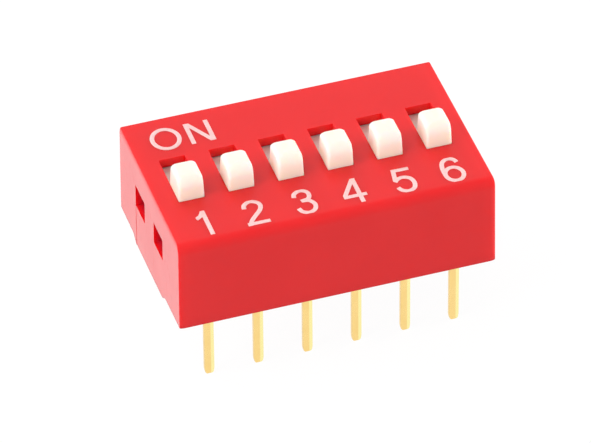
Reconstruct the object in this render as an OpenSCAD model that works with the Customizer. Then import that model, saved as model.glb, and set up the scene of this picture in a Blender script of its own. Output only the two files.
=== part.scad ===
// Slide DIP switch for through-hole boards.
// A snap-fit cover traps one slider per position over a base with moulded-in terminals.
// X runs along the row with position 1 at -X, +Y points to the ON side, +Z is up.
// The origin is the middle of the pin grid on the board's top face, so the pins go below Z = 0.

/* [Row] */
// Number of switch positions
positions = 6; // [2:1:12]
// Distance between neighbouring positions
pitch = 2.54; // [2.4:0.01:2.8]
// Length of the body beyond one pitch per position, both ends together
end_extra = 1.06; // [0.9:0.02:2]

/* [Cover] */
// Width of the cover at its skirt edge
cover_w = 9.94; // [8.9:0.02:11]
// Distance from the cover's side to the middle of the row of pins behind it
row_inset = 1.16; // [1.05:0.01:1.3]
// Height of the cover from its skirt edge to its top face
cover_h = 5.1; // [4.9:0.05:5.8]
// Thickness of the cover's side and end walls
wall_t = 0.6; // [0.5:0.05:0.7]
// Thickness of the cover's top wall
top_t = 0.5; // [0.4:0.05:0.7]
// How far each side leans in from the skirt edge to the top
draft = 0.04; // [0:0.01:0.08]
// Radius of the two upright corners on the number side
front_corner_r = 0.3; // [0.1:0.01:0.4]
// Radius of the two upright corners on the ON side
back_corner_r = 0.12; // [0.05:0.01:0.4]
// Height of the rounded top edges
edge_drop = 0.42; // [0.1:0.01:0.45]
// Depth of the rounded top edge over each end of the row
end_edge_in = 0.1; // [0.05:0.01:0.4]
// Depth of the rounded top edge over the ON side
back_edge_in = 0.13; // [0.05:0.01:0.4]
// Depth of the rounded top edge over the number side
front_edge_in = 0.34; // [0.1:0.01:0.4]
// Height of the standoff feet below the skirt edge
standoff_h = 0.35; // [0.2:0.05:0.6]
// Width of each standoff foot along Y
foot_w = 4.3; // [3:0.1:6]
// How far the feet sit from the middle toward the ON side
foot_shift = 0.14; // [0:0.01:0.4]
// Width of a slot along X
slot_w = 1.28; // [1.1:0.02:1.5]
// Clearance between a knob and each end of its slot
slot_end_gap = 0.18; // [0.05:0.01:0.2]

/* [Snap windows] */
// Width of each snap window along Y
window_w = 1.5; // [1:0.02:1.8]
// Height of each snap window
window_h = 1.3; // [1:0.05:1.6]
// Wall left between the two windows of one end
window_space = 1.48; // [1:0.02:2]
// Height of the window sill above the skirt edge
sill_h = 2.17; // [1.9:0.01:2.4]
// How far a snap hook stands out of the base
hook_depth = 0.2; // [0.2:0.05:0.5]
// Clearance round a hook in its window
hook_gap = 0.05; // [0.02:0.01:0.1]
// Depth of the shallow panel that runs down the end wall from the windows to the foot
panel_depth = 0.02; // [0.02:0.01:0.1]

/* [Sliders] */
// Travel from OFF to ON
travel = 1.6; // [1.2:0.05:1.7]
// Length of a knob along Y where it leaves the cover
knob_l = 1.56; // [1.2:0.02:1.6]
// Height of a knob above the cover
knob_h = 1.29; // [0.8:0.01:1.6]
// Clearance between a knob and each side of its slot
knob_gap = 0.02; // [0.02:0.01:0.06]
// Lean of a knob's front and back faces, in degrees
knob_lean = 3; // [0:0.5:6]
// Radius of a knob's side and back top edges
knob_r = 0.2; // [0.1:0.01:0.3]
// Radius of a knob's front top edge
knob_front_r = 0.38; // [0.1:0.01:0.45]
// Radius of a knob's four upright corners
knob_corner_r = 0.13; // [0.05:0.01:0.2]
// Rise of the crowned knob top between its side edges
crown_h = 0.05; // [0.01:0.01:0.1]
// Thickness of the shoulder plate under the cover
plate_t = 0.6; // [0.4:0.05:0.8]
// How far the shoulder plate still reaches past the slot at each end of the travel
plate_lap = 0.1; // [0.05:0.05:0.2]
// Length along Y of the block under the shoulder plate
block_l = 3.6; // [2.4:0.1:4.4]
// Running clearance between a slider and what guides it
run_gap = 0.05; // [0.03:0.01:0.08]

/* [Bridging contacts] */
// Width of a contact leaf along X
leaf_w = 1; // [0.7:0.05:1.2]
// Thickness of the leaf
leaf_t = 0.12; // [0.08:0.01:0.15]
// Height of the formed leaf from its feet to its flat middle
leaf_h = 0.65; // [0.55:0.05:0.8]
// Distance between the two feet of the leaf
foot_span = 3.6; // [3.2:0.1:4]
// Outer radius of a foot
foot_r = 0.22; // [0.18:0.01:0.26]
// Length of the flat middle of the leaf
leaf_flat = 1.3; // [1.1:0.05:1.6]
// Radius of the staked post that holds the leaf
post_r = 0.28; // [0.2:0.01:0.32]
// Radius of the post's formed head
head_r = 0.42; // [0.36:0.01:0.5]
// Height of the formed head
head_h = 0.1; // [0.06:0.01:0.14]
// Clearance between the post and the hole in the leaf
stake_gap = 0.02; // [0.01:0.01:0.04]
// Running gap between the leaf's feet and the pads
touch_gap = 0.02; // [0.01:0.01:0.05]

/* [Terminals] */
// Length of a pin below the board's top face
pin_l = 3.82; // [2.8:0.02:4.5]
// Width of a pin along X
pin_w = 0.5; // [0.4:0.02:0.6]
// Thickness of the stamped strip
strip_t = 0.25; // [0.2:0.01:0.3]
// Width of the contact pad and of the shoulder below it
pad_w = 1.3; // [1:0.05:1.6]
// Inner radius of the bend between pad and leg
bend_r = 0.12; // [0.05:0.01:0.2]
// Height of the shoulder's lower edge above the board
shoulder_z = 1.2; // [0.8:0.05:1.6]
// Length of the tapered pin tip
tip_l = 0.3; // [0.2:0.05:0.8]
// Width of the pin at the very end of its tip
tip_w = 0.38; // [0.15:0.01:0.4]
// How far the front pad reaches past the leaf's rear foot when the slider is ON
front_reach = 0.35; // [0.25:0.05:0.5]
// Bare floor between the back pad and the leaf's rear foot when the slider is OFF
open_gap = 0.5; // [0.4:0.05:0.8]

/* [Base] */
// Height of the channel floor, level with the contact pads
floor_z = 2.35; // [2.1:0.05:2.4]
// Thickness of the rib between two channels
rib_t = 0.8; // [0.5:0.05:1]
// Clearance between the base and the cover
base_gap = 0.05; // [0.03:0.01:0.1]
// How far the underside of the base sits above the skirt edge
base_recess = 0.1; // [0:0.05:0.2]
// Clearance round a terminal in the base
insert_gap = 0.01; // [0.01:0.01:0.03]
// Width along Y of the hollow cored out of the underside
core_w = 4.6; // [3:0.1:5.2]
// Depth of that hollow
core_depth = 0.8; // [0.4:0.05:1]
// Wall left round the hollow at each end of the row
core_end = 1.2; // [0.8:0.1:2]

/* [Hidden] */
fine = 48;
form_fine = 32;
arc_steps = 6;
eps = 0.01;
far = 20;

cover_l = positions * pitch + end_extra;
cover_top = standoff_h + cover_h;
cover_under = cover_top - top_t;
cavity_l = cover_l - 2 * (wall_t + draft);
cavity_w = cover_w - 2 * (wall_t + draft);
window_z = standoff_h + sill_h;
window_y = (window_space + window_w) / 2;
panel_w = window_space + 2 * window_w;
panel_top = window_z + window_h;
side_top = cover_top - edge_drop;
slot_l = knob_l + travel + 2 * slot_end_gap;

channel_w = pitch - rib_t;
plate_w = channel_w - 2 * run_gap;
plate_l = slot_l + travel + 2 * plate_lap;
channel_l = plate_l + travel + 2 * run_gap;
plate_top = cover_under - run_gap;
knob_w = slot_w - 2 * knob_gap;
knob_top = cover_top + knob_h;
leaf_top = floor_z + touch_gap + leaf_h;

base_l = cavity_l - 2 * base_gap;
base_w = cavity_w - 2 * base_gap;
base_z = standoff_h + base_recess;
base_top = cover_under - base_gap;

leg_y = cover_w / 2 - row_inset;
front_pad_end = -foot_span / 2 + travel / 2 + front_reach;
back_pad_end = foot_span / 2 - travel / 2 + open_gap;

ROW = [for (i = [1:positions]) i];

// Place of position i along the row
function place_x(i) = (i - (positions + 1) / 2) * pitch;

// Points of an arc about c from angle a0 to a1
function arc(c, r, a0, a1) = [
    for (k = [0:arc_steps])
        let (a = a0 + (a1 - a0) * k / arc_steps)
            c + r * [cos(a), sin(a)]
];

// Unit vector from p to q
function heading(p, q) = (q - p) / norm(q - p);

// Left-hand offset of point k of a path by d, mitred between its two segments
function offset_point(path, k, d) =
    let (
        last = len(path) - 1,
        u = heading(path[max(k - 1, 0)], path[max(k, 1)]),
        v = heading(path[min(k, last - 1)], path[min(k + 1, last)]),
        n = [-u.y - v.y, u.x + v.x] / 2
    )
    path[k] + n * d / (n * n);

// A metal strip of thickness t that follows a path in the YZ plane, w wide along X
module formed_strip(path, t, w) {
    ends = [0:len(path) - 1];
    back = [for (k = ends) len(path) - 1 - k];
    extrude_x(w)
        polygon(concat(
            [for (k = ends) offset_point(path, k, t / 2)],
            [for (k = back) offset_point(path, k, -t / 2)]
        ));
}

// Extrude a YZ outline along X, centred
module extrude_x(w) {
    rotate([90, 0, 90])
        linear_extrude(w, center = true)
            children();
}

// Extrude an XZ outline along Y, centred
module extrude_y(w) {
    rotate([90, 0, 0])
        linear_extrude(w, center = true)
            children();
}

// A box centred on X and Y between two heights
module slab(l, w, z0, z1) {
    translate([-l / 2, -w / 2, z0])
        cube([l, w, z1 - z0]);
}

// Copy a shape to both ends of the row
module mirror_ends() {
    children();
    mirror([1, 0, 0]) children();
}

// One upright corner of the cover and the rounded top edges that meet above it
module cover_corner(side, r, top_in) {
    translate([cover_l / 2 - r, side * (cover_w / 2 - r), 0])
        cylinder(r = r, h = eps, $fn = form_fine);
    translate([cover_l / 2 - draft - end_edge_in, side * (cover_w / 2 - draft - top_in), side_top])
        scale([end_edge_in, top_in, edge_drop])
            sphere(r = 1, $fn = form_fine);
}

// Outer form of the cover: drafted sides with rounded corners and top edges
module cover_form() {
    hull()
        mirror_ends() {
            cover_corner(-1, front_corner_r, front_edge_in);
            cover_corner(1, back_corner_r, back_edge_in);
        }
}

// What the shallow panel takes off the +X end, level with the wall's lean
module panel_cut() {
    x = cover_l / 2 - panel_depth;
    extrude_y(panel_w)
        polygon([
            [x, -eps],
            [far, -eps],
            [far, panel_top],
            [x - draft * panel_top / side_top, panel_top]
        ]);
}

// Red cover with its slots, snap windows, end panels and standoff feet
module cover() {
    color("#e6363a")
    difference() {
        cover_form();
        slab(cavity_l, cavity_w, -eps, cover_under);
        // Skirt relief that leaves a foot at each end
        for (s = [-1, 1])
            translate([0, foot_shift + s * (foot_w / 2 + far / 2), 0])
                slab(cover_l + far, far, -eps, standoff_h);
        for (i = ROW)
            translate([place_x(i), 0, 0])
                slab(slot_w, slot_l, cover_under - eps, cover_top + eps);
        for (s = [-1, 1])
            translate([0, s * window_y, 0])
                slab(cover_l + far, window_w, window_z, panel_top);
        mirror_ends() panel_cut();
    }
}

// Wedge on the end of the base that latches over a window sill
module snap_hook() {
    catch_z = window_z + hook_gap;
    ramp_z = panel_top - hook_gap;
    nose_h = (ramp_z - catch_z) / 4;
    translate([base_l / 2, window_y, 0])
        extrude_y(window_w - 2 * hook_gap)
            polygon([
                [-eps, catch_z],
                [base_gap + hook_depth, catch_z],
                [base_gap + hook_depth, catch_z + nose_h],
                [base_gap, ramp_z],
                [-eps, ramp_z]
            ]);
}

// Pocket in the base for one terminal: pad bed, shoulder slot and pin slot
module terminal_pocket(side, pad_end) {
    wide = pad_w + 2 * insert_gap;
    leg = strip_t + 2 * insert_gap;
    bed_l = leg_y + strip_t / 2 + insert_gap - side * pad_end;
    translate([0, side * (leg_y + strip_t / 2 + insert_gap - bed_l / 2), 0])
        slab(wide, bed_l + insert_gap, floor_z - strip_t, floor_z + eps);
    translate([0, side * leg_y, 0]) {
        slab(wide, leg, shoulder_z, floor_z);
        slab(pin_w + 2 * insert_gap, leg, base_z - eps, shoulder_z + eps);
    }
    // Room for the inside of the bend
    bend_l = bend_r + insert_gap;
    translate([0, side * (leg_y - strip_t / 2 - bend_l / 2), 0])
        slab(wide, bend_l, floor_z - strip_t - bend_l, floor_z - strip_t + eps);
}

// Red base with one channel per position
module base() {
    core_l = positions * pitch - 2 * core_end;
    color("#b5202a")
    difference() {
        union() {
            slab(base_l, base_w, base_z, base_top);
            mirror_ends() {
                snap_hook();
                mirror([0, 1, 0]) snap_hook();
            }
        }
        slab(core_l, core_w, base_z - eps, base_z + core_depth);
        for (i = ROW)
            translate([place_x(i), 0, 0]) {
                slab(channel_w, channel_l, floor_z, base_top + eps);
                terminal_pocket(-1, front_pad_end);
                terminal_pocket(1, back_pad_end);
            }
    }
}

// Side view of a knob: leaning front and back faces under rounded edges
module knob_side() {
    half = knob_l / 2 - tan(knob_lean) * knob_h;
    polygon(concat(
        [[-knob_l / 2, plate_top - eps], [knob_l / 2, plate_top - eps], [knob_l / 2, cover_top]],
        arc([half - knob_r, knob_top - knob_r], knob_r, 0, 90),
        arc([knob_front_r - half, knob_top - knob_front_r], knob_front_r, 90, 180),
        [[-knob_l / 2, cover_top]]
    ));
}

// Front view of a knob: upright sides under a crowned top
module knob_front() {
    half = knob_w / 2;
    flat = half - knob_r;
    crown_r = (flat * flat + crown_h * crown_h) / (2 * crown_h);
    swing = asin(flat / crown_r);
    polygon(concat(
        [[-half, plate_top - eps], [half, plate_top - eps]],
        arc([flat, knob_top - crown_h - knob_r], knob_r, 0, 90 - swing),
        arc([0, knob_top - crown_r], crown_r, 90 - swing, 90 + swing),
        arc([-flat, knob_top - crown_h - knob_r], knob_r, 90 + swing, 180)
    ));
}

// Plan of a knob: a block with rounded corners
module knob_plan() {
    x = knob_w / 2 - knob_corner_r;
    y = knob_l / 2 - knob_corner_r;
    polygon(concat(
        arc([x, y], knob_corner_r, 0, 90),
        arc([-x, y], knob_corner_r, 90, 180),
        arc([-x, -y], knob_corner_r, 180, 270),
        arc([x, -y], knob_corner_r, 270, 360)
    ));
}

// White slider: knob, shoulder plate, block and staked post
module actuator(i) {
    color("#fbf6ea")
    translate([place_x(i), -travel / 2, 0]) {
        intersection() {
            extrude_x(knob_w + eps) knob_side();
            extrude_y(knob_l + eps) knob_front();
            translate([0, 0, plate_top - 2 * eps])
                linear_extrude(knob_top - plate_top + 3 * eps)
                    knob_plan();
        }
        slab(plate_w, plate_l, plate_top - plate_t, plate_top);
        slab(plate_w, block_l, leaf_top, plate_top - plate_t + eps);
        translate([0, 0, leaf_top - leaf_t - eps])
            cylinder(r = post_r, h = leaf_t + 2 * eps, $fn = fine);
        translate([0, 0, leaf_top - leaf_t - head_h])
            cylinder(r = head_r, h = head_h, $fn = fine);
    }
}

// Centre line of one arm of the leaf, from its flat middle to the turned-up tip
function leaf_arm(s) =
    let (
        r = foot_r - leaf_t / 2,
        foot = [s * foot_span / 2, floor_z + touch_gap + foot_r],
        steep = 35
    )
    concat(
        [[s * leaf_flat / 2, leaf_top - leaf_t / 2]],
        arc(foot, r, s > 0 ? 270 - steep : 270 + steep, s > 0 ? 270 + 2 * steep : 270 - 2 * steep)
    );

// Bridging contact: a formed leaf with two rounded feet, held by the slider's post
module contact(i) {
    left = leaf_arm(-1);
    path = concat([for (k = [0:len(left) - 1]) left[len(left) - 1 - k]], leaf_arm(1));
    color("#d9b44a")
    translate([place_x(i), -travel / 2, 0])
        difference() {
            formed_strip(path, leaf_t, leaf_w);
            translate([0, 0, leaf_top - 2 * leaf_t])
                cylinder(r = post_r + stake_gap, h = 3 * leaf_t, $fn = fine);
        }
}

// Stamped terminal: contact pad, bend and shoulder, then a pin with a tapered tip
module terminal(i, side, pad_end) {
    r = bend_r + strip_t / 2;
    pad_z = floor_z - strip_t / 2;
    color("#ecc66a")
    translate([place_x(i), 0, 0])
        mirror([0, side < 0 ? 1 : 0, 0]) {
            formed_strip(
                concat(
                    [[side * pad_end, pad_z]],
                    arc([leg_y - r, pad_z - r], r, 90, 0),
                    [[leg_y, shoulder_z]]
                ),
                strip_t, pad_w
            );
            translate([0, leg_y, 0])
                extrude_y(strip_t)
                    polygon([
                        [-pin_w / 2, shoulder_z + eps],
                        [pin_w / 2, shoulder_z + eps],
                        [pin_w / 2, tip_l - pin_l],
                        [tip_w / 2, -pin_l],
                        [-tip_w / 2, -pin_l],
                        [-pin_w / 2, tip_l - pin_l]
                    ]);
        }
}

cover();
base();
for (i = ROW) {
    actuator(i);
    contact(i);
    terminal(i, -1, front_pad_end);
    terminal(i, 1, back_pad_end);
}
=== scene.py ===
"""Looks of a six-position slide DIP switch: finished mouldings, pins, lettering, materials and studio."""
import logging
import math
from collections.abc import Callable, Sequence
from dataclasses import dataclass
from enum import Enum

import bmesh
import bpy
from mathutils import Matrix, Quaternion, Vector


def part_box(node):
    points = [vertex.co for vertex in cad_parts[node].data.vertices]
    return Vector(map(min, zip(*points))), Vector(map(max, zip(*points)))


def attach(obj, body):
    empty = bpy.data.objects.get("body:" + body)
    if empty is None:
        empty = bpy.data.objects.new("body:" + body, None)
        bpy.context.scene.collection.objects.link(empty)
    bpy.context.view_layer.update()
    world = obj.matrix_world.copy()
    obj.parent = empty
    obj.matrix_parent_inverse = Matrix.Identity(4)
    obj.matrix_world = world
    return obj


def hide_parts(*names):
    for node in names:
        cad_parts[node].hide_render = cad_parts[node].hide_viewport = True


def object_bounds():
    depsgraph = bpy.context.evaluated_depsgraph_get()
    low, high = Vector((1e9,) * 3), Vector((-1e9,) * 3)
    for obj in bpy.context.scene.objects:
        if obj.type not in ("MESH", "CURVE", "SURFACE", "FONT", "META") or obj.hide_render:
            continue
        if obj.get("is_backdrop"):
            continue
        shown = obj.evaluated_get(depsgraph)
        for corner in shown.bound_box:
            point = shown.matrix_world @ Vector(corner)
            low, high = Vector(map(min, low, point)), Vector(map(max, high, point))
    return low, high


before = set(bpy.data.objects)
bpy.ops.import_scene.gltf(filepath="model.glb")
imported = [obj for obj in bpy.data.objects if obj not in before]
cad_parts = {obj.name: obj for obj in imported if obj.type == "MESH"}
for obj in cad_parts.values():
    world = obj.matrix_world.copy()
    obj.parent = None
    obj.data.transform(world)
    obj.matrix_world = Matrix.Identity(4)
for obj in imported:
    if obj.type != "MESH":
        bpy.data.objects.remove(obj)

log = logging.getLogger("dip_switch")

MM = 0.001
HOUSING = "housing"
POSITIONS = 6
# Points that lie closer than this are one point, in millimetres.
SAME_POINT = 1e-5
# Stretches in the letter O and in the bowl of the 6.
ROUND_STEPS = 40
# How far joined solids reach into each other, and how near counts as touching, in millimetres.
TOUCH = 0.01

Colour = tuple[float, float, float]
Size = tuple[float, float, float]
Point = tuple[float, float]
Ring = list[Vector]
Object = bpy.types.Object
Material = bpy.types.Material
Socket = bpy.types.NodeSocket

WHITE: Colour = (1.0, 1.0, 1.0)


class Slot(Enum):
    """The record's finish slots that the pieces made here belong to."""

    COVER = "cover_red"
    SLIDER = "slider_white"
    TERMINAL = "terminal_gold"
    PRINT = "print_white"


class Row(Enum):
    """The two rows of pins, by the side of the body that they stand on."""

    FRONT = "front"
    BACK = "back"


# ---------------------------------------------------------------- shader graphs


@dataclass(frozen=True)
class Value:
    """A shader socket that takes part in Python arithmetic."""

    graph: "Graph"
    socket: Socket

    def __add__(self, other: "Value | float") -> "Value":
        """Sum of two values."""
        return self.graph.math("ADD", self, other)

    def __mul__(self, other: "Value | float") -> "Value":
        """Product of two values."""
        return self.graph.math("MULTIPLY", self, other)

    def __sub__(self, other: "Value | float") -> "Value":
        """This value less another."""
        return self.graph.math("SUBTRACT", self, other)

    def __rsub__(self, other: float) -> "Value":
        """A number less this value."""
        return self.graph.math("SUBTRACT", other, self)

    __radd__ = __add__
    __rmul__ = __mul__


class Graph:
    """The node tree of one material or world, built by calls."""

    def __init__(self, owner: Material | bpy.types.World) -> None:
        """Take over the tree of a material or world and empty it.

        Args:
            owner: the new material or world.
        """
        owner.use_nodes = True
        self.owner = owner
        self.tree = owner.node_tree
        self.tree.nodes.clear()

    def outputs(
        self, kind: str, names: Sequence[str], inputs: dict | None = None, **settings: object
    ) -> list[Value]:
        """Add a node, its kind without the ShaderNode prefix, and return the outputs of these names."""
        node = add_node(self.tree, f"ShaderNode{kind}", settings, inputs)
        return [Value(self, find_socket(node.outputs, name)) for name in names]

    def add(self, kind: str, output: str, inputs: dict | None = None, **settings: object) -> Value:
        """Add a node and return the one output that is wanted."""
        return self.outputs(kind, [output], inputs, **settings)[0]

    def math(self, operation: str, *operands: "Value | float") -> Value:
        """Result of a Math node for its operands in order."""
        return self.add("Math", "Value", dict(enumerate(operands)), operation=operation)

    def blend(self, factor: "Value | float", low: "Value | Colour", high: "Value | Colour") -> Value:
        """Mix of two colours, the first where the factor is 0 and the second where it is 1."""
        inputs = {"Factor_Float": factor, "A_Color": low, "B_Color": high}
        return self.add("Mix", "Result_Color", inputs, data_type="RGBA")

    def place(self, stretch: Size = (1.0, 1.0, 1.0)) -> Value:
        """Object coordinates in millimetres, times a stretch that makes patterns finer along an axis."""
        inputs = {0: self.add("TexCoord", "Object"), 1: tuple(s / MM for s in stretch)}
        return self.add("VectorMath", "Vector", inputs, operation="MULTIPLY")

    def noise(self, place: Value, per_mm: float, detail: float = 2.0) -> Value:
        """Smooth noise from 0 to 1, with so many features in a millimetre and so many finer layers."""
        return self.add("TexNoise", "Fac", {"Vector": place, "Scale": per_mm, "Detail": detail})

    def axes(self, place: Value) -> list[Value]:
        """The three coordinates of a place."""
        return self.outputs("SeparateXYZ", "XYZ", {"Vector": place})

    def range(self, value: Value, low: float, high: float, start: float = 0.0, end: float = 1.0) -> Value:
        """Map the range from low to high smoothly to the range from start to end, and stay inside it."""
        inputs = {"Value": value, "From Min": low, "From Max": high, "To Min": start, "To Max": end}
        return self.add("MapRange", "Result", inputs, interpolation_type="SMOOTHSTEP")

    def bump(self, height: Value, depth_mm: float, strength: float) -> Value:
        """Normal bumped by a height from 0 to 1, where a full step is so deep and shows so strongly."""
        return self.add("Bump", "Normal", {"Height": height, "Distance": depth_mm * MM, "Strength": strength})

    def seen_directly(self) -> Value:
        """1 for rays that show the backdrop itself: in view, in a reflection or through glass."""
        rays = self.outputs("LightPath", ("Is Camera Ray", "Is Glossy Ray", "Is Transmission Ray"))
        return self.math("MINIMUM", rays[0] + rays[1] + rays[2], 1.0)

    def principled(self, inputs: dict) -> Material:
        """End a material in a Principled shader and return it."""
        return self.close("Material", self.add("BsdfPrincipled", "BSDF", inputs))

    def close(self, kind: str, shader: Value) -> Material | bpy.types.World:
        """End the graph in the output node of its kind and return the material or world."""
        add_node(self.tree, f"ShaderNodeOutput{kind}", None, {"Surface": shader})
        return self.owner


def find_socket(sockets: Sequence[Socket], key: str | int) -> Socket:
    """Find a socket by place, identifier or name.

    Args:
        sockets: a node's inputs or outputs.
        key: its index, identifier or name.

    Returns:
        The first socket that matches.
    """
    if isinstance(key, int):
        return sockets[key]
    matches = [s for s in sockets if s.identifier == key] or [s for s in sockets if s.name == key]
    return matches[0]


def add_node(
    tree: bpy.types.NodeTree, kind: str, settings: dict | None = None, inputs: dict | None = None
) -> bpy.types.Node:
    """Add a node to any tree, set it up and wire its inputs.

    Args:
        tree: the tree that it joins.
        kind: the node's type.
        settings: properties of the node, set before its sockets.
        inputs: values or links for its input sockets; a list makes several links.

    Returns:
        The new node.
    """
    node = tree.nodes.new(kind)
    for name, value in (settings or {}).items():
        setattr(node, name, value)
    for key, value in (inputs or {}).items():
        socket = find_socket(node.inputs, key)
        for item in value if isinstance(value, list) else [value]:
            source = item.socket if isinstance(item, Value) else item
            if isinstance(source, Socket):
                tree.links.new(source, socket)
            elif socket.type == "RGBA":
                socket.default_value = (*source, 1.0)
            else:
                socket.default_value = source
    return node


# ---------------------------------------------------------------- finishes


@dataclass(frozen=True)
class PaintedShade:
    """Painted shade: a darker tone that fills a box about the Z axis and fades at its faces."""

    colour: Colour
    half: Point
    height: Point
    fade: Size
    foot_fade: float = 0.1

    def share(self, graph: Graph) -> Value:
        """How much of the painted shade a place gets.

        Args:
            graph: the material's graph.

        Returns:
            1 inside the box, 0 outside.
        """
        x, y, z = graph.axes(graph.place())
        low, high = self.height
        sides = [
            graph.range(graph.math("ABSOLUTE", value), limit - fade, limit, 1.0, 0.0)
            for value, limit, fade in zip((x, y), self.half, self.fade)
        ]
        below = sides[0] * sides[1] * graph.range(z, high - self.fade[2], high, 1.0, 0.0)
        return below * graph.range(z, low - self.foot_fade, low)


@dataclass(frozen=True)
class MouldedPlastic:
    """Glossy to satin moulded thermoplastic with a fine grain, slow changes of tone and, where given, painted
    shade.
    """

    name: str
    colour: Colour
    shade: Colour
    roughness: float
    ior: float = 1.45
    drift_per_mm: float = 0.35
    scuff_per_mm: float = 1.3
    scuff_stretch: Size = (0.6, 2.4, 1.0)
    grain_per_mm: float = 16.0
    grain_depth_mm: float = 0.0012
    glow: float = 0.0
    glow_radius: Colour = (1.0, 0.5, 0.3)
    glow_mm: float = 0.3
    skin: float = 0.0
    skin_ior: float = 1.3
    # painted shade in a box, if any
    painted_shade: PaintedShade | None = None

    def material(self) -> Material:
        """Build the material.

        Returns:
            The material.
        """
        graph = Graph(bpy.data.materials.new(self.name))
        place = graph.place()
        drift = graph.range(graph.noise(place, self.drift_per_mm), 0.3, 0.7)
        grain = graph.noise(place, self.grain_per_mm, 3.0)
        scuff = graph.range(graph.noise(graph.place(self.scuff_stretch), self.scuff_per_mm, 4.0), 0.55, 0.8)
        rough = self.roughness + drift * 0.05 + scuff * 0.07 + grain * 0.04
        tone = graph.blend(drift * 0.6 + scuff * 0.2, self.colour, self.shade)
        # painted shade: blend towards the darker tone inside its box
        if self.painted_shade:
            tone = graph.blend(self.painted_shade.share(graph), tone, self.painted_shade.colour)
        return graph.principled({
            "Base Color": tone,
            "Roughness": rough,
            "IOR": self.ior,
            "Subsurface Weight": self.glow,
            "Subsurface Radius": self.glow_radius,
            "Subsurface Scale": self.glow_mm * MM,
            "Coat Weight": self.skin,
            "Coat IOR": self.skin_ior,
            "Coat Roughness": self.roughness * 0.6,
            "Normal": graph.bump(grain, self.grain_depth_mm, 0.6),
        })


@dataclass(frozen=True)
class GoldPlate:
    """Gold plating over a stamped strip, with drawn streaks along the pin and a painted highlight along each
    pin's right edge.
    """

    name: str
    colour: Colour
    shade: Colour
    roughness: float
    # painted highlight: its paler gold, and where across the pin it starts and is full, in millimetres from
    # the pin's centre
    highlight_colour: Colour = (1.0, 0.89, 0.40)
    highlight_from: Point = (0.06, 0.12)
    pitch: float = 2.54
    streak_stretch: Size = (10.0, 10.0, 0.5)
    cloud_per_mm: float = 1.4

    def material(self) -> Material:
        """Build the material; each pin of a row gets a painted highlight, a paler strip towards its right
        edge.

        Returns:
            The material.
        """
        graph = Graph(bpy.data.materials.new(self.name))
        place = graph.place()
        streak = graph.noise(graph.place(self.streak_stretch), 1.0)
        cloud = graph.range(graph.noise(place, self.cloud_per_mm, 3.0), 0.35, 0.75)
        across = (graph.math("FRACT", graph.axes(place)[0] * (1 / self.pitch)) - 0.5) * self.pitch
        tone = graph.blend(cloud * 0.6 + streak * 0.2, self.colour, self.shade)
        # painted highlight: paler gold over the right part of each pin
        painted_highlight = graph.range(across + streak * 0.04, *self.highlight_from)
        return graph.principled({
            "Base Color": graph.blend(painted_highlight, tone, self.highlight_colour),
            "Metallic": 1.0,
            "Roughness": self.roughness + cloud * 0.06 + streak * 0.05,
            "Normal": graph.bump(streak, 0.0002, 0.4),
        })


@dataclass(frozen=True)
class PrintedInk:
    """Thin opaque ink that lets a little of the plastic show through where it lies thin."""

    name: str
    colour: Colour
    thin: Colour
    body_per_mm: float = 9.0

    def material(self) -> Material:
        """Build the material.

        Returns:
            The material.
        """
        graph = Graph(bpy.data.materials.new(self.name))
        body = graph.noise(graph.place(), self.body_per_mm, 4.0)
        cover = graph.range(body, 0.35, 0.62)
        return graph.principled({
            "Base Color": graph.blend(cover, self.thin, self.colour),
            "Roughness": 0.62 - 0.12 * cover,
            "IOR": 1.4,
            "Normal": graph.bump(body, 0.002, 0.5),
        })


@dataclass(frozen=True)
class StudioFloor:
    """White sweep: plain paper for the light, near white to the camera, with a soft shadow kept."""

    name: str
    colour: Colour = (0.38, 0.38, 0.38)
    shade: Colour = (0.34, 0.34, 0.34)
    mottle_per_mm: float = 0.01
    shadow_share: float = 0.2
    glow: float = 1.18

    def material(self) -> Material:
        """Build the material.

        Returns:
            The material.
        """
        graph = Graph(bpy.data.materials.new(self.name))
        tone = graph.blend(graph.noise(graph.place(), self.mottle_per_mm) * 0.1, self.colour, self.shade)
        paper = graph.add("BsdfDiffuse", "BSDF", {"Color": tone})
        white = graph.add("Emission", "Emission", {"Color": WHITE, "Strength": self.glow})
        shown = graph.seen_directly() * (1.0 - self.shadow_share)
        return graph.close("Material", graph.add("MixShader", "Shader", {0: shown, 1: paper, 2: white}))


class Palette:
    """Every finish of the switch, made once."""

    def __init__(self) -> None:
        """Build the materials."""
        self.cover = MouldedPlastic(
            "red_cover_plastic", (0.865, 0.010, 0.013), (0.825, 0.009, 0.012), 0.28,
            ior=1.27, skin=1.0, skin_ior=1.27, glow=0.6, glow_radius=(1.0, 0.02, 0.02), glow_mm=0.8,
            # painted shade: darker red inside the shell, at the bottom of the slots and deep in the end
            # windows, where shade falls
            painted_shade=PaintedShade((0.66, 0.019, 0.05), (8.13, 4.6), (-1.0, 5.0), (0.45, 0.2, 0.2)),
        ).material()
        self.base = MouldedPlastic(
            "red_base_plastic", (0.70, 0.005, 0.010), (0.62, 0.004, 0.008), 0.36, ior=1.4
        ).material()
        self.slider = MouldedPlastic(
            "white_slider_nylon", (0.985, 0.965, 0.845), (0.98, 0.95, 0.825), 0.38,
            grain_per_mm=12.0, glow=0.7, glow_radius=(1.0, 0.7, 0.5), glow_mm=0.6,
            # painted shade: darker, yellower tone low on the knob, fading out towards its top
            painted_shade=PaintedShade((0.93, 0.90, 0.74), (50.0, 50.0), (5.2, 6.4), (1.0, 1.0, 0.95)),
        ).material()
        self.contact = GoldPlate(
            "contact_gold_plate", (0.93, 0.66, 0.25), (0.86, 0.57, 0.19), 0.28
        ).material()
        self.terminal = GoldPlate(
            "pin_gold_plate", (0.98, 0.71, 0.28), (0.94, 0.66, 0.24), 0.24
        ).material()
        self.ink = PrintedInk("printed_ink", (0.99, 0.66, 0.64), (0.97, 0.58, 0.57)).material()
        self.floor = StudioFloor("studio_floor").material()


# ---------------------------------------------------------------- mesh tools


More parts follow.
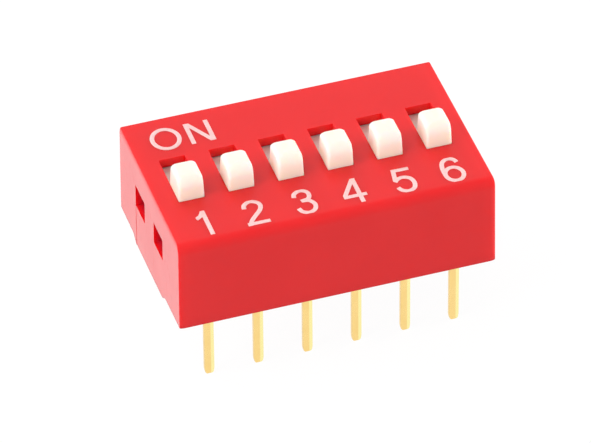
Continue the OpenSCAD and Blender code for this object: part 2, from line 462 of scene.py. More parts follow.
def link(piece: Object) -> None:
    """Put an object into the scene."""
    bpy.context.scene.collection.objects.link(piece)


def arc(centre: Point, radius: Point, start: float, end: float, steps: int) -> list[Point]:
    """Points that cut an arc of an ellipse, between two angles in degrees, into so many stretches."""
    angles = [math.radians(start + (end - start) * k / steps) for k in range(steps + 1)]
    return [(centre[0] + radius[0] * math.cos(a), centre[1] + radius[1] * math.sin(a)) for a in angles]


@dataclass(frozen=True)
class Corner:
    """One corner of a level outline: its two signs and its two radii."""

    side: tuple[int, int]
    radius: Point


def corners(back: Point, front: Point) -> list[Corner]:
    """The four corners of an outline, counterclockwise from +X and +Y, by their radii along X and Y."""
    return [Corner((1, 1), back), Corner((-1, 1), back), Corner((-1, -1), front), Corner((1, -1), front)]


def outline_ring(
    box: tuple[float, float, float, float], found: Sequence[Corner], z: float, steps: int
) -> Ring:
    """A level ring with rounded corners.

    Args:
        box: its lowest and highest X, then its lowest and highest Y.
        found: its corners.
        z: its height.
        steps: how many stretches each corner has.

    Returns:
        Its points, counterclockwise from above.
    """
    ring: Ring = []
    for number, corner in enumerate(found):
        (sx, sy), (rx, ry) = corner.side, corner.radius
        centre = (box[1] - rx if sx > 0 else box[0] + rx, box[3] - ry if sy > 0 else box[2] + ry)
        ring += [Vector((x, y, z)) for x, y in arc(centre, (rx, ry), 90 * number, 90 * number + 90, steps)]
    return ring


def round_ring(radius: float, z: float, steps: int) -> Ring:
    """A level circle about the Z axis, each quarter of it in so many steps."""
    curve = (radius, radius)
    return outline_ring((-radius, radius, -radius, radius), corners(curve, curve), z, steps)


def plain_object(name: str, shape: bmesh.types.BMesh) -> Object:
    """Turn a bmesh into an object and free it.

    Args:
        name: the name of the object and of its mesh.
        shape: the bmesh.

    Returns:
        The object, not yet linked to the scene.
    """
    mesh = bpy.data.meshes.new(name)
    shape.to_mesh(mesh)
    shape.free()
    return bpy.data.objects.new(name, mesh)


def loft(name: str, rings: Sequence[Ring]) -> Object:
    """Skin a stack of rings that have the same number of points, and cap both ends.

    Args:
        name: the object's name.
        rings: the rings from the bottom to the top, in millimetres.

    Returns:
        A closed solid.
    """
    shape = bmesh.new()
    rows = [[shape.verts.new(p) for p in ring] for ring in rings]
    for low, high in zip(rows, rows[1:]):
        for k, vert in enumerate(low):
            after = (k + 1) % len(low)
            shape.faces.new((vert, low[after], high[after], high[k]))
    shape.faces.new(list(reversed(rows[0])))
    shape.faces.new(rows[-1])
    bmesh.ops.remove_doubles(shape, verts=shape.verts, dist=SAME_POINT)
    bmesh.ops.recalc_face_normals(shape, faces=shape.faces)
    return plain_object(name, shape)


def block(name: str, low: Size, high: Size) -> Object:
    """Build a box.

    Args:
        name: the object's name.
        low: its lowest corner.
        high: its highest corner.

    Returns:
        A closed solid.
    """
    (left, front, bottom), (right, back, top) = low, high
    plan = ((right, back), (left, back), (left, front), (right, front))
    return loft(name, [[Vector((x, y, z)) for x, y in plan] for z in (bottom, top)])


def extruded(
    name: str, outline: Sequence[Point], depth: float, lift: Callable[[float, float, float], Vector]
) -> Object:
    """A flat outline, thickened to both sides; lift turns one of its points and a depth into a place."""
    return loft(name, [[lift(u, v, d) for u, v in outline] for d in (-depth / 2, depth / 2)])


def roll_inset(z: float, top: float, roll: Point, ease: float = 2.0) -> float:
    """How far a rounded top edge has drawn in at a height.

    Args:
        z: the height.
        top: the height of the flat top.
        roll: depth and drop of the edge's quarter ellipse.
        ease: 2 for an ellipse, more for an edge that starts and ends more gently.

    Returns:
        The distance from the upright face.
    """
    depth, drop = roll
    share = min(1.0, max(0.0, (z - top + drop) / drop))
    return depth * (1 - (1 - share ** ease) ** (1 / ease))


def mixed(first: Point, last: Point, share: float) -> Point:
    """A pair of numbers part of the way from one pair to another."""
    return (first[0] + (last[0] - first[0]) * share, first[1] + (last[1] - first[1]) * share)


class GeometryTree:
    """A Geometry Nodes tree that is built by calls, run once on an object and baked."""

    def __init__(self, name: str) -> None:
        """Start a tree.

        Args:
            name: the tree's name.
        """
        self.tree = bpy.data.node_groups.new(name, "GeometryNodeTree")
        self.tree.interface.new_socket("Geometry", in_out="INPUT", socket_type="NodeSocketGeometry")
        self.tree.interface.new_socket("Geometry", in_out="OUTPUT", socket_type="NodeSocketGeometry")
        self.entry = self.tree.nodes.new("NodeGroupInput")
        self.settings: dict[str, object] = {}
        self.parts: list[Object] = []

    @property
    def geometry(self) -> Socket:
        """The geometry that comes in."""
        return self.entry.outputs[0]

    def size(self, name: str, value: object) -> Socket:
        """Add a named input.

        Args:
            name: what the size is.
            value: the value that the modifier gives it; its type picks the socket's.

        Returns:
            The socket that carries it inside the tree.
        """
        kinds = {
            int: "NodeSocketInt", float: "NodeSocketFloat", tuple: "NodeSocketVector",
            Material: "NodeSocketMaterial", Object: "NodeSocketObject",
        }
        item = self.tree.interface.new_socket(name, in_out="INPUT", socket_type=kinds[type(value)])
        self.settings[item.identifier] = value
        return find_socket(self.entry.outputs, item.identifier)

    def add(self, kind: str, inputs: dict | None = None, output: int = 0, **settings: object) -> Socket:
        """Add a node, its kind without the GeometryNode prefix, and return the output that is wanted."""
        return add_node(self.tree, f"GeometryNode{kind}", settings, inputs).outputs[output]

    def part(self, piece: Object) -> Socket:
        """Bring in the mesh of another object, which the bake uses up.

        Args:
            piece: the object, not yet linked to the scene.

        Returns:
            Its geometry.
        """
        link(piece)
        self.parts.append(piece)
        return self.add("ObjectInfo", {"Object": self.size(piece.name.title(), piece)}, output=4)

    def box(self, name: str, size: Sequence[float], centre: Sequence[float]) -> Socket:
        """A box whose size and centre are named inputs."""
        cube = self.add("MeshCube", {"Size": self.size(f"{name} Size", tuple(size))})
        return self.placed(cube, translation=self.size(f"{name} Centre", tuple(centre)))

    def placed(self, part: Socket, **places: Socket) -> Socket:
        """A part moved by a translation, turned by a rotation, or both."""
        return self.add("Transform", {"Geometry": part} | {name.title(): at for name, at in places.items()})

    def row(self, name: str, part: Socket, count: int, first: Size, step: Size) -> Socket:
        """Repeat a part along a straight row.

        Args:
            name: what the row holds.
            part: the geometry to repeat.
            count: how many there are.
            first: where the first one goes.
            step: from each one to the next.

        Returns:
            The repeated geometry as real meshes.
        """
        line = self.add("MeshLine", {
            "Count": self.size(f"{name} Count", count),
            "Start Location": self.size(f"{name} Start", first),
            "Offset": self.size(f"{name} Step", step),
        }, mode="OFFSET")
        placed = self.add("InstanceOnPoints", {"Points": line, "Instance": part})
        return self.add("RealizeInstances", {"Geometry": placed})

    def joined(self, parts: list[Socket]) -> Socket:
        """Several geometries as one."""
        return self.add("JoinGeometry", {"Geometry": parts})

    def boolean(self, operation: str, **links: Socket | list[Socket] | bool) -> Socket:
        """Join, cut or trim solids; mesh_1 is what a difference cuts, and mesh_2 holds the others."""
        inputs = {name.replace("_", " ").title(): link for name, link in links.items()}
        return self.add("MeshBoolean", inputs, operation=operation, solver="EXACT")

    def bake(self, name: str, carrier: Object, result: Socket, material: Material) -> Object:
        """Close the tree, run it on an object and keep its plain result.

        Args:
            name: the finished object's name.
            carrier: the object whose mesh comes in; it is used up.
            result: the geometry to keep.
            material: its material.

        Returns:
            An object with a plain mesh, still in millimetres.
        """
        real = self.add("RealizeInstances", {"Geometry": result})
        painted = self.add("SetMaterial", {"Geometry": real, "Material": self.size("Material", material)})
        add_node(self.tree, "NodeGroupOutput", None, {0: painted})
        link(carrier)
        modifier = carrier.modifiers.new(self.tree.name, "NODES")
        modifier.node_group = self.tree
        for identifier, value in self.settings.items():
            modifier[identifier] = value
        piece = baked(name, carrier)
        for part in self.parts:
            bpy.data.objects.remove(part)
        return piece


def baked(name: str, carrier: Object) -> Object:
    """Replace an object and its modifiers by a plain mesh object.

    Args:
        name: the finished object's name.
        carrier: the object to use up; it is linked to the scene.

    Returns:
        The plain object, linked to the scene.
    """
    graph = bpy.context.evaluated_depsgraph_get()
    mesh = bpy.data.meshes.new_from_object(carrier.evaluated_get(graph), depsgraph=graph)
    mesh.name = name
    bpy.data.objects.remove(carrier)
    piece = bpy.data.objects.new(name, mesh)
    link(piece)
    return piece


@dataclass(frozen=True)
class EdgeBreak:
    """The small radius that a mould or a stamping leaves on sharp edges."""

    width: float
    segments: int = 3
    angle: float = 38.0
    flat_angle: float = 0.6
    cut_weld: float = 1e-4
    break_weld: float = 2e-4

    def apply(self, piece: Object, scale: Callable[[Vector], float] = lambda middle: 1.0) -> Object:
        """Round the sharp edges of a piece that is still in millimetres.

        Args:
            piece: the piece; its mesh is replaced.
            scale: gives for an edge's middle the share of the width that it gets.

        Returns:
            The rounded piece, under the same name.
        """
        shape = self.welded(piece, self.cut_weld)
        limit = math.radians(self.flat_angle)
        bmesh.ops.dissolve_limit(
            shape, angle_limit=limit, verts=shape.verts, edges=shape.edges, delimit={"NORMAL"}
        )
        weight = shape.edges.layers.float.new("bevel_weight_edge")
        for edge in shape.edges:
            middle = (edge.verts[0].co + edge.verts[1].co) / 2
            edge[weight] = scale(middle) if self.is_sharp(edge) else 0.0
        shape.to_mesh(piece.data)
        shape.free()
        bevel = piece.modifiers.new("edge_break", "BEVEL")
        bevel.width = self.width
        bevel.segments = self.segments
        bevel.limit_method = "WEIGHT"
        bevel.use_clamp_overlap = True
        bevel.miter_outer = "MITER_ARC"
        return self.shade(baked(piece.name, piece))

    def welded(self, piece: Object, distance: float) -> bmesh.types.BMesh:
        """Open a piece's mesh and join the points that lie together.

        Args:
            piece: the piece.
            distance: how close such points are.

        Returns:
            The mesh, open for changes.
        """
        shape = bmesh.new()
        shape.from_mesh(piece.data)
        bmesh.ops.remove_doubles(shape, verts=shape.verts, dist=distance)
        return shape

    def is_sharp(self, edge: bmesh.types.BMEdge) -> bool:
        """Whether two faces meet at an edge more sharply than the limit."""
        return len(edge.link_faces) == 2 and edge.calc_face_angle(0.0) > math.radians(self.angle)

    def shade(self, piece: Object) -> Object:
        """Shade a rounded piece so that its large faces stay flat.

        Args:
            piece: the piece; its mesh is replaced.

        Returns:
            The shaded piece, under the same name.
        """
        shape = self.welded(piece, self.break_weld)
        bmesh.ops.dissolve_degenerate(shape, dist=self.break_weld, edges=shape.edges)
        for edge in shape.edges:
            edge.smooth = not self.is_sharp(edge)
        for face in shape.faces:
            face.smooth = True
        shape.to_mesh(piece.data)
        shape.free()
        normals = piece.modifiers.new("flat_faces", "WEIGHTED_NORMAL")
        normals.keep_sharp = True
        normals.weight = 100
        return baked(piece.name, piece)


def seat(piece: Object, body: str, slot: Slot, *nodes: str, offset: Size = (0, 0, 0)) -> None:
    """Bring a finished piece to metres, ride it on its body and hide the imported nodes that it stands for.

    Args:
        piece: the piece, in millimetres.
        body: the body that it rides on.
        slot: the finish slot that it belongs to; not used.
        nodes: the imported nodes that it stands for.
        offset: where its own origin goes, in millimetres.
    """
    piece.data.transform(Matrix.Scale(MM, 4) @ Matrix.Translation(Vector(offset)))
    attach(piece, body)
    if nodes:
        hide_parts(*nodes)
    log.info("%s: %d faces on %s", piece.name, len(piece.data.polygons), body)


def dress_node(name: str, material: Material) -> None:
    """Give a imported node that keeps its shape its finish.

    Args:
        name: the node's name.
        material: its finish.
    """
    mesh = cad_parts[name].data
    mesh.materials.clear()
    mesh.materials.append(material)
    log.info("%s: packed shape kept", name)


# ---------------------------------------------------------------- the switch


@dataclass(frozen=True)
class Layout:
    """Main sizes of the switch in millimetres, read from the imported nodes."""

    high: Vector
    pitch: float
    skirt_z: float = 0.35
    top_wall: float = 0.5

    @classmethod
    def from_frame(cls) -> "Layout":
        """Read the cover's highest corner and the pitch of the sliders."""
        first, last = (sum(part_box(f"actuator_{i}"), Vector()).x / 2 / MM for i in (1, POSITIONS))
        return cls(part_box("cover")[1] / MM, (last - first) / (POSITIONS - 1))

    @property
    def top(self) -> float:
        """Height of the cover's top face."""
        return self.high.z

    @property
    def ceiling(self) -> float:
        """Height of the underside of the cover's top wall."""
        return self.top - self.top_wall

    def place_x(self, number: int) -> float:
        """Place of a position along the row."""
        return (number - (POSITIONS + 1) / 2) * self.pitch


@dataclass
class Assembly:
    """Something sized by the layout and dressed from the palette."""

    layout: Layout
    palette: Palette


@dataclass
class Cover(Assembly):
    """Red shell with six slots, two windows in each end and a standoff foot under each end.

    A roll is the depth and drop of a rounded edge, and a corner its radii along X and along Y.
    """

    end_ease: float = 0.02
    draft: float = 0.04
    back_corner: Point = (0.12, 0.12)
    front_corner: Point = (0.32, 0.09)
    top_corner: Point = (0.08, 0.06)
    end_roll: Point = (0.06, 0.36)
    back_roll: Point = (0.1, 0.36)
    front_roll: Point = (0.52, 0.64)
    front_ease: float = 2.5
    corner_steps: int = 16
    wall: float = 0.6
    slot_width: float = 1.33
    slot_ends: Point = (-1.6, 1.76)
    window_size: Point = (1.5, 1.3)
    window_space: float = 1.48
    sill: float = 2.17
    foot_width: float = 4.3
    foot_shift: float = 0.14
    foot_flare: float = 0.5
    panel_depth: float = 0.01
    soft_edge: float = 0.035
    slot_edge_share: float = 0.15
    over: float = 1.0

    @property
    def end_x(self) -> float:
        """How far out the end faces reach at the foot, a touch inside the frame's box."""
        return self.layout.high.x - self.end_ease

    @property
    def draft_angle(self) -> float:
        """Lean of the sides in radians."""
        return math.atan(self.draft / (self.layout.top - self.front_roll[1]))

    @property
    def panel_top(self) -> float:
        """Height of the windows' upper edges, where the end panel starts."""
        return self.layout.skirt_z + self.sill + self.window_size[1]

    @property
    def panel_half(self) -> float:
        """Half the width of the end panel, out to the windows' outer edges."""
        return self.window_space / 2 + self.window_size[0]

    def form(self) -> Object:
        """The outer form: drafted sides, round corners and a round top edge.

        Returns:
            A closed solid.
        """
        top, steps = self.layout.top, self.corner_steps
        x, y = self.end_x, self.layout.high.y
        found = corners(self.back_corner, self.front_corner)
        rings = [outline_ring((-x, x, -y, y), found, 0.0, steps)]
        drop = self.front_roll[1]
        x, y = x - self.draft, y - self.draft
        for _, rise in arc((0.0, top - drop), (1.0, drop), 0, 90, steps):
            end, back = (roll_inset(rise, top, roll) for roll in (self.end_roll, self.back_roll))
            front = roll_inset(rise, top, self.front_roll, self.front_ease)
            shares = (back / self.back_roll[0], front / self.front_roll[0])
            found = corners(
                mixed(self.back_corner, self.top_corner, shares[0]),
                mixed(self.front_corner, self.top_corner, shares[1]),
            )
            box = (end - x, x - end, front - y, y - back)
            rings.append(outline_ring(box, found, rise, steps))
        return loft("cover_form", rings)

    def cut(self) -> Object:
        """Hollow the form and cut its slots, windows, end panels and skirt.

        Returns:
            The shell in millimetres.
        """
        layout, over = self.layout, self.over
        far, ceiling = 3 * layout.high.x, layout.ceiling
        long, wide = (2 * (side - self.wall - self.draft) for side in layout.high.xy)
        tree = GeometryTree("cover_cuts")
        cavity = tree.box("Cavity", (long, wide, ceiling + over), (0, 0, (ceiling - over) / 2))
        front, back = self.slot_ends
        slot_z = ceiling + layout.top_wall / 2 + over / 4
        slot_size = (self.slot_width, back - front, layout.top_wall + over)
        slot = tree.box("Slot", slot_size, (0, (front + back) / 2, slot_z))
        slots = tree.row("Slots", slot, POSITIONS, (layout.place_x(1), 0, 0), (layout.pitch, 0, 0))
        apart = self.window_space + self.window_size[0]
        sill_z = self.panel_top - self.window_size[1]
        window = tree.box("Window", (far, *self.window_size), (0, 0, sill_z + self.window_size[1] / 2))
        windows = tree.row("Windows", window, 2, (0, -apart / 2, 0), (0, apart, 0))
        reliefs = [tree.part(self.relief(side, far)) for side in (-1, 1)]
        panel_size = (over, 2 * self.panel_half, self.panel_top + over)
        panel = tree.box("End Panel", panel_size, (over / 2, 0, (self.panel_top - over) / 2))
        right = tree.placed(
            panel,
            translation=tree.size("Panel Place", (self.end_x - self.panel_depth, 0.0, 0.0)),
            rotation=tree.size("Panel Lean", (0.0, -self.draft_angle, 0.0)),
        )
        left = tree.placed(right, rotation=tree.size("Half Turn", (0.0, 0.0, math.pi)))
        shell = tree.geometry
        for cutter in (cavity, slots, windows, tree.joined(reliefs), tree.joined([left, right])):
            shell = tree.boolean("DIFFERENCE", mesh_1=shell, mesh_2=[cutter])
        return tree.bake("cover_shell", self.form(), shell, self.palette.cover)

    def relief(self, side: int, far: float) -> Object:
        """What is cut off the skirt beside a foot, whose side flares upwards.

        Args:
            side: -1 in front of the foot, 1 behind it.
            far: how long the cutter is.

        Returns:
            The cutter.
        """
        foot, skirt, under = self.foot_width / 2, self.layout.skirt_z, -self.over
        outline = [(foot, under), (far, under), (far, skirt), (foot + self.foot_flare, skirt), (foot, 0.0)]
        return extruded(
            f"relief_{side}", outline, far, lambda y, z, d: Vector((d, self.foot_shift + side * y, z))
        )

    def edge_share(self, middle: Vector) -> float:
        """How much of the soft edge an edge gets: none low on the ends, little at the slots, else all.

        Args:
            middle: the middle of the edge.

        Returns:
            The share.
        """
        wall_x = self.layout.high.x - self.wall - self.draft
        foot_half = max(self.panel_half, self.foot_width / 2 + self.foot_shift + self.foot_flare)
        on_end = abs(middle.x) > wall_x - TOUCH and abs(middle.y) < foot_half + TOUCH
        if on_end and middle.z < self.panel_top + TOUCH:
            return 0.0
        in_slot = abs(middle.y) < max(self.slot_ends) + TOUCH
        return self.slot_edge_share if in_slot and middle.z > self.layout.ceiling - TOUCH else 1.0

    def build(self) -> None:
        """Build, soften and seat the cover."""
        shell = EdgeBreak(self.soft_edge).apply(self.cut(), self.edge_share)
        seat(shell, HOUSING, Slot.COVER, "cover")


@dataclass
class Slider(Assembly):
    """White slider: knob, shoulder plate, block and the staked post that holds its contact.

    A roll is the depth and drop of a rounded edge, and the corner radii are those at foot and top.
    """

    number: int
    travel: float = 1.6
    knob_size: Point = (1.27, 1.57)
    knob_height: float = 1.29
    lean: float = 3.0
    flare: float = 0.03
    front_roll: Point = (0.42, 0.62)
    back_roll: Point = (0.2, 0.2)
    side_roll: Point = (0.2, 0.2)
    corner_radius: Point = (0.14, 0.18)
    crown: float = 0.08
    crown_rings: tuple[float, ...] = (0.7, 0.4, 0.12)
    crown_ridge: float = 0.3
    root: float = 0.1
    plate_size: Size = (1.64, 5.2, 0.6)
    block_length: float = 3.6
    run_gap: float = 0.03
    leaf_top: float = 3.02
    leaf_thickness: float = 0.12
    post_radius: float = 0.28
    head_radius: float = 0.42
    head_height: float = 0.1
    soft_edge: float = 0.03
    sharp_angle: float = 50.0
    fine: int = 10

    @property
    def plate_top(self) -> float:
        """Height of the shoulder plate's upper face, a running gap below the cover's top wall."""
        return self.layout.ceiling - self.run_gap

    def knob(self) -> Object:
        """The raised knob: leaning ends, round corners and a crowned top that rolls over to the front.

        Returns:
            A closed solid that reaches down into the shoulder plate.
        """
        half_x, half_y = (s / 2 for s in self.knob_size)
        base, top = self.layout.top, self.layout.top + self.knob_height
        slope = math.tan(math.radians(self.lean))
        drop = self.front_roll[1]
        low_radius, high_radius = self.corner_radius
        bends = [z for _, z in arc((0, top - drop), (1, drop), 0, 90, self.fine)]
        rolls = (self.side_roll, self.back_roll, self.front_roll)
        rings = []
        for z in (self.plate_top - self.root, base, *bends):
            side, back, front = (roll_inset(z, top, roll) for roll in rolls)
            rise = max(0.0, z - base)
            share = rise / self.knob_height
            side -= self.flare * (1 - share)
            lean = slope * rise
            box = (side - half_x, half_x - side, lean + front - half_y, half_y - lean - back)
            radius = low_radius + (high_radius - low_radius) * share
            corner = (radius + max(side, 0.0) / 2, radius + back / 2)
            rings.append(outline_ring(box, corners(corner, corner), z, self.fine))
        rim = rings[-1]
        middle = sum((p.y for p in rim), 0.0) / len(rim)
        for share in self.crown_rings:
            along = self.crown_ridge + (1 - self.crown_ridge) * share
            rings.append([Vector((p.x * share, middle + (p.y - middle) * along, p.z)) for p in rim])
        for ring in rings[2:]:
            for p in ring:
                p.z -= self.crown * (p.z - top + drop) / drop * (p.x / half_x) ** 2
        return loft("knob", rings)

    def carriage(self) -> list[Object]:
        """Build what lies below the cover.

        Returns:
            The plate, block, post and head, as separate solids.
        """
        wide, long, thick = self.plate_size
        plate_under = self.plate_top - thick
        leaf_under = self.leaf_top - self.leaf_thickness
        rounds = {
            "post": (self.post_radius, leaf_under - TOUCH, self.leaf_top + TOUCH),
            "head": (self.head_radius, leaf_under - self.head_height, leaf_under),
        }
        return [
            block("plate", (-wide / 2, -long / 2, plate_under), (wide / 2, long / 2, self.plate_top)),
            block("block", (-wide / 2, -self.block_length / 2, self.leaf_top),
                  (wide / 2, self.block_length / 2, plate_under + TOUCH)),
            *(
                loft(name, [round_ring(radius, z, self.fine) for z in ends])
                for name, (radius, *ends) in rounds.items()
            ),
        ]

    def build(self) -> None:
        """Join the solids, soften the edges and seat the slider on its body."""
        tree = GeometryTree("slider_union")
        parts = [tree.geometry, *(tree.part(part) for part in self.carriage())]
        joined = tree.boolean("UNION", mesh_2=parts)
        piece = tree.bake(f"slider_moulding_{self.number}", self.knob(), joined, self.palette.slider)
        piece = EdgeBreak(self.soft_edge, 2, self.sharp_angle).apply(piece)
        offset = (self.layout.place_x(self.number), -self.travel / 2, 0)
        seat(piece, f"slider_{self.number}", Slot.SLIDER, f"actuator_{self.number}", offset=offset)


@dataclass
class TerminalRow(Assembly):
    """One row of six stamped terminals: contact pad, bend, shoulder and tapered pin."""

    row: Row
    strip: float = 0.25
    pad_width: float = 1.3
    front_pad_end: float = 0.65
    back_pad_end: float = 1.5
    pin_width: float = 0.5
    bend_radius: float = 0.12
    bend_steps: int = 8
    floor_z: float = 2.35
    shoulder_z: float = 1.2
    leg_y: float = 3.81
    tip_length: float = 0.32
    tip_width: float = 0.41
    tip_chamfer: float = 0.05
    taper_share: float = 0.7
    pin_length: float = 3.82
    soft_edge: float = 0.035

    @property
    def side(self) -> int:
        """-1 for the front row, 1 for the back row."""
        return -1 if self.row is Row.FRONT else 1

    @property
    def pad_end(self) -> float:
        """Where the pad ends inside the channel, measured towards this row's side."""
        return self.front_pad_end if self.row is Row.FRONT else self.back_pad_end

    def strip_section(self) -> list[Point]:
        """Outline the pad, bend and leg from the side.

        Returns:
            The outline in the YZ plane, on the +Y side.
        """
        outer, inner = self.bend_radius + self.strip, self.bend_radius
        outside, inside = self.leg_y + self.strip / 2, self.leg_y - self.strip / 2
        centre = (outside - outer, self.floor_z - outer)
        return [
            (self.pad_end, self.floor_z - self.strip), (self.pad_end, self.floor_z),
            *reversed(arc(centre, (outer, outer), 0, 90, self.bend_steps)),
            (outside, self.shoulder_z), (inside, self.shoulder_z),
            *arc(centre, (inner, inner), 0, 90, self.bend_steps),
        ]

    def pin_outline(self) -> list[Point]:
        """Outline the pin from the front.

        Returns:
            The outline in the XZ plane, from the shoulder to the tapered tip and back.
        """
        half, tip, share = self.pin_width / 2, self.tip_width / 2, self.taper_share
        taper_z = self.tip_length - self.pin_length
        side = [
            (half, self.shoulder_z + TOUCH), (half, taper_z),
            (half * (1 - share) + tip * share, taper_z - self.tip_length * share),
            (tip - self.tip_chamfer, -self.pin_length),
        ]
        return side + [(-x, z) for x, z in reversed(side)]

    def build(self) -> None:
        """Form one terminal, repeat it along the row and seat the row."""
        side, gold = self.side, self.palette.terminal
        strip = extruded(
            "strip", self.strip_section(), self.pad_width, lambda y, z, d: Vector((d, side * y, z))
        )
        pin = extruded(
            "pin", self.pin_outline(), self.strip, lambda x, z, d: Vector((x, side * self.leg_y + d, z))
        )
        join = GeometryTree("terminal_union")
        union = join.boolean("UNION", mesh_2=[join.geometry, join.part(pin)])
        one = EdgeBreak(self.soft_edge, 2).apply(join.bake("terminal", strip, union, gold))
        bpy.context.scene.collection.objects.unlink(one)
        tree = GeometryTree("terminal_row")
        first, step = (self.layout.place_x(1), 0, 0), (self.layout.pitch, 0, 0)
        row = tree.row("Terminals", tree.geometry, POSITIONS, first, step)
        nodes = [f"terminal_{self.row.value}_{i}" for i in range(1, POSITIONS + 1)]
        piece = tree.bake(f"{self.row.value}_terminals", one, row, gold)
        seat(piece, HOUSING, Slot.TERMINAL, *nodes)


@dataclass
class Internals(Assembly):
    """The base block and the bridging contacts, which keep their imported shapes."""

    def build(self) -> None:
        """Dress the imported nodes."""
        dress_node("base", self.palette.base)
        for number in range(1, POSITIONS + 1):
            dress_node(f"contact_{number}", self.palette.contact)


# ---------------------------------------------------------------- lettering


def smooth_path(points: Sequence[Point], steps: int = 8) -> list[Point]:
    """Run a smooth curve through a few points.

    Args:
        points: the points that the pen passes.
        steps: how many stretches lie between two of them.

    Returns:
        The points of the curve.
    """
    ends = [points[0], *points, points[-1]]
    curve: list[Point] = []
    for p0, p1, p2, p3 in zip(ends, ends[1:], ends[2:], ends[3:]):
        for k in range(steps):
            t = k / steps
            curve.append(tuple(
                0.5 * (
                    2 * b + (c - a) * t + (2 * a - 5 * b + 4 * c - d) * t ** 2
                    + (3 * b - 3 * c + d - a) * t ** 3
                )
                for a, b, c, d in zip(p0, p1, p2, p3)
            ))
    return [*curve, points[-1]]


def ring_path(centre: Point, radius: Point) -> list[Point]:
    """A closed round stroke from its top and round to it again."""
    return arc(centre, radius, 90, 450, ROUND_STEPS)


@dataclass(frozen=True)
class Character:
    """One printed character: pen strokes that are trimmed to the character's own box."""

    centre: Point
    low: Point
    high: Point
    strokes: list[list[Point]]


@dataclass
class Lettering(Assembly):
    """ON behind the first slots and the numbers 1 to 6 in front of the sliders."""

    pen: float = 0.22
    ink: float = 0.012
    number_y: float = -3.5
    number_half: float = 0.92
    word_x: Point = (-6.185, -4.44)
    word_y: float = 3.235
    trim_height: float = 1.0

    def characters(self) -> list[Character]:
        """Every character, with its strokes in millimetres from its centre.

        Returns:
            The characters.
        """
        strokes = {
            1: [[(0.18, -1.0), (0.18, 1.0)], smooth_path([(0.17, 0.86), (0.01, 0.58), (-0.26, 0.39)])],
            2: [smooth_path([(-0.38, 0.38), (-0.30, 0.66), (0.02, 0.84), (0.34, 0.70), (0.45, 0.44),
                             (0.34, 0.12), (0.05, -0.20), (-0.26, -0.54), (-0.48, -0.96)]),
                [(-0.7, -0.80), (0.7, -0.80)]],
            3: [smooth_path([(-0.37, 0.42), (-0.28, 0.69), (0.04, 0.84), (0.33, 0.70), (0.39, 0.42),
                             (0.26, 0.16), (-0.12, 0.07)]),
                smooth_path([(-0.05, 0.07), (0.28, 0.0), (0.46, -0.34), (0.35, -0.69), (0.03, -0.85),
                             (-0.28, -0.71), (-0.40, -0.42)])],
            4: [[(0.28, 1.02), (-0.62, -0.42)], [(-0.7, -0.37), (0.7, -0.37)], [(0.21, -1.0), (0.21, 1.0)]],
            5: [[(-0.36, 0.81), (0.52, 0.79)], [(-0.24, 0.88), (-0.39, 0.02)],
                smooth_path([(-0.42, -0.02), (-0.22, 0.16), (0.06, 0.22), (0.37, 0.05), (0.47, -0.32),
                             (0.35, -0.69), (0.03, -0.85), (-0.28, -0.71), (-0.41, -0.46)])],
            6: [ring_path((-0.01, -0.335), (0.45, 0.51)),
                smooth_path([(0.38, 0.50), (0.26, 0.75), (-0.02, 0.84), (-0.31, 0.66), (-0.45, 0.22),
                             (-0.46, -0.30)])],
        }
        sides = {
            1: (-0.26, 0.29), 2: (-0.55, 0.58), 3: (-0.55, 0.6),
            4: (-0.62, 0.56), 5: (-0.55, 0.6), 6: (-0.6, 0.6),
        }
        tall, place_x = self.number_half, self.layout.place_x
        letter_n = [[(-0.53, -0.9), (-0.53, 0.9)], [(0.50, -0.9), (0.50, 0.9)], [(-0.60, 1.0), (0.57, -1.0)]]
        o_place, n_place = ((x, self.word_y) for x in self.word_x)
        return [
            *(
                Character((place_x(n), self.number_y), (left, -tall), (right, tall), strokes[n])
                for n, (left, right) in sides.items()
            ),
            Character(o_place, (-0.8, -0.9), (0.8, 0.9), [ring_path((-0.01, 0), (0.67, 0.75))]),
            Character(n_place, (-0.64, -0.80), (0.61, 0.80), letter_n),
        ]

    def wires(self, characters: Sequence[Character]) -> Object:
        """Lay every stroke on the cover as a chain of edges.

        Args:
            characters: the characters.

        Returns:
            An object that holds the chains.
        """
        shape = bmesh.new()
        z = self.layout.top + self.ink / 3
        for char in characters:
            for stroke in char.strokes:
                closed = math.dist(stroke[0], stroke[-1]) < SAME_POINT
                points = stroke[:-1] if closed else stroke
                chain = [shape.verts.new((char.centre[0] + x, char.centre[1] + y, z)) for x, y in points]
                for pair in zip(chain, chain[1:] + (chain[:1] if closed else [])):
                    shape.edges.new(pair)
        return plain_object("pen_strokes", shape)

    def build(self) -> None:
        """Ink the strokes, trim them to their boxes and seat the print on the cover."""
        characters = self.characters()
        trims = []
        tree = GeometryTree("printed_lettering")
        lines = tree.add("MeshToCurve", {"Mesh": tree.geometry})
        level = tree.add("SetCurveNormal", {"Curve": lines}, mode="Z_UP")
        pen = tree.add("CurvePrimitiveQuadrilateral", {
            "Width": tree.size("Pen Width", self.pen), "Height": tree.size("Ink Thickness", self.ink),
        }, mode="RECTANGLE")
        ribbons = tree.add("CurveToMesh", {"Curve": level, "Profile Curve": pen, "Fill Caps": True})
        for number, char in enumerate(characters):
            size = (char.high[0] - char.low[0], char.high[1] - char.low[1], self.trim_height)
            middle = [c + (a + b) / 2 for c, a, b in zip(char.centre, char.low, char.high)]
            trims.append(tree.box(f"Character {number}", size, (*middle, self.layout.top)))
        union = tree.boolean("UNION", mesh_2=[ribbons], self_intersection=True)
        inked = tree.boolean("INTERSECT", mesh_2=[union, tree.joined(trims)])
        piece = tree.bake("cover_lettering", self.wires(characters), inked, self.palette.ink)
        seat(piece, HOUSING, Slot.PRINT)


# ---------------------------------------------------------------- studio


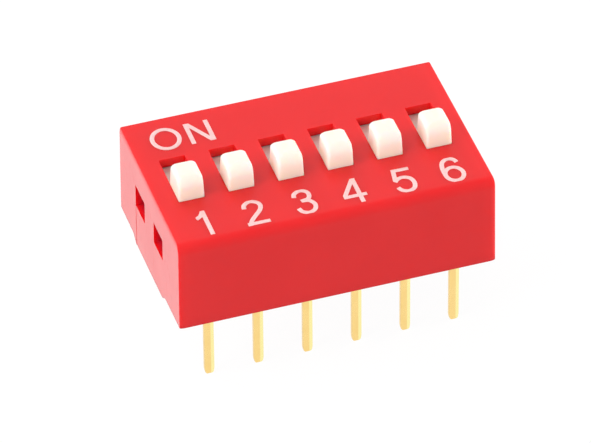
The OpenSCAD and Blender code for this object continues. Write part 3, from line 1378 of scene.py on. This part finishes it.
@dataclass
class Studio(Assembly):
    """Floor and lamps, sized in metres, the room, and the camera, placed in millimetres."""

    floor_half: float = 1.5
    sky: float = 0.37
    lamps: tuple[tuple[str, Size, float], ...] = (
        ("left", (-0.98, -0.14, 0.5), 0.67), ("back", (-0.35, 0.9, 0.7), 0.39),
        ("front", (0.0, -1.0, 0.05), 0.45), ("right", (1.0, 0.0, 0.0), 1.8),
    )
    lamp_distance: float = 0.4
    lamp_size: float = 0.3
    camera_place: Size = (-72.826, -226.102, 200.05)
    camera_aim: Size = (-1.0504, -1.4336, 2.5)
    camera_roll: float = 0.642
    camera_lens: float = 382.52
    camera_sensor: float = 36.0
    camera_reach: Point = (0.01, 20.0)

    def floor(self) -> None:
        """The sweep that the pin tips stand on."""
        z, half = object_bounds()[0][2], self.floor_half
        mesh = bpy.data.meshes.new("studio_floor")
        places = [(x * half, y * half, z) for x, y in ((-1, -1), (1, -1), (1, 1), (-1, 1))]
        mesh.from_pydata(places, [], [(0, 1, 2, 3)])
        mesh.materials.append(self.palette.floor)
        floor = bpy.data.objects.new("studio_floor", mesh)
        link(floor)
        floor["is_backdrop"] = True

    def lamp(self, name: str, toward: Sequence[float], share: float) -> None:
        """Hang a soft square lamp that faces the switch; reflections show the white room instead of it.

        Args:
            name: its name.
            toward: where it hangs as seen from the switch.
            share: how much a white surface that faces it lights up.
        """
        data = bpy.data.lights.new(name, "AREA")
        data.size = self.lamp_size
        data.energy = share * math.pi ** 2 * (self.lamp_distance ** 2 + self.lamp_size ** 2 / 4)
        lamp = bpy.data.objects.new(name, data)
        lamp.location = Vector(toward).normalized() * self.lamp_distance
        lamp.rotation_euler = lamp.location.to_track_quat("Z", "Y").to_euler()
        lamp.visible_glossy = False
        link(lamp)

    def surroundings(self) -> None:
        """A plain room: white where it is seen, and at a studio level where it lights the switch."""
        graph = Graph(bpy.data.worlds.new("studio_room"))
        level = graph.range(graph.seen_directly(), 0.0, 1.0, self.sky, 1.0)
        light = graph.add("Background", "Background", {"Color": WHITE, "Strength": level})
        bpy.context.scene.world = graph.close("World", light)

    def camera(self) -> None:
        """A long lens, high in front and to the left of the switch."""
        data = bpy.data.cameras.new("camera")
        data.lens = self.camera_lens
        data.sensor_width = self.camera_sensor
        data.clip_start, data.clip_end = self.camera_reach
        camera = bpy.data.objects.new("camera", data)
        place, aim = Vector(self.camera_place), Vector(self.camera_aim)
        turn = (place - aim).to_track_quat("Z", "Y")
        roll = Quaternion((0.0, 0.0, 1.0), math.radians(-self.camera_roll))
        camera.rotation_mode = "QUATERNION"
        camera.rotation_quaternion = turn @ roll
        camera.location = place * MM
        link(camera)
        bpy.context.scene.camera = camera

    def build(self) -> None:
        """Set up the whole studio."""
        self.camera()
        self.floor()
        self.surroundings()
        for name, toward, share in self.lamps:
            self.lamp(name, toward, share)
        bpy.context.scene.view_settings.view_transform = "Standard"
        log.info("studio: camera, floor, %d lamps", len(self.lamps))


def main() -> None:
    """Build the studio and the switch piece by piece."""
    logging.basicConfig(level=logging.INFO, format="%(message)s")
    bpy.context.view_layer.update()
    layout = Layout.from_frame()
    palette = Palette()
    Studio(layout, palette).build()
    Cover(layout, palette).build()
    Internals(layout, palette).build()
    for number in range(1, POSITIONS + 1):
        Slider(layout, palette, number).build()
    for row in Row:
        TerminalRow(layout, palette, row).build()
    Lettering(layout, palette).build()


if __name__ == "__main__":
    main()
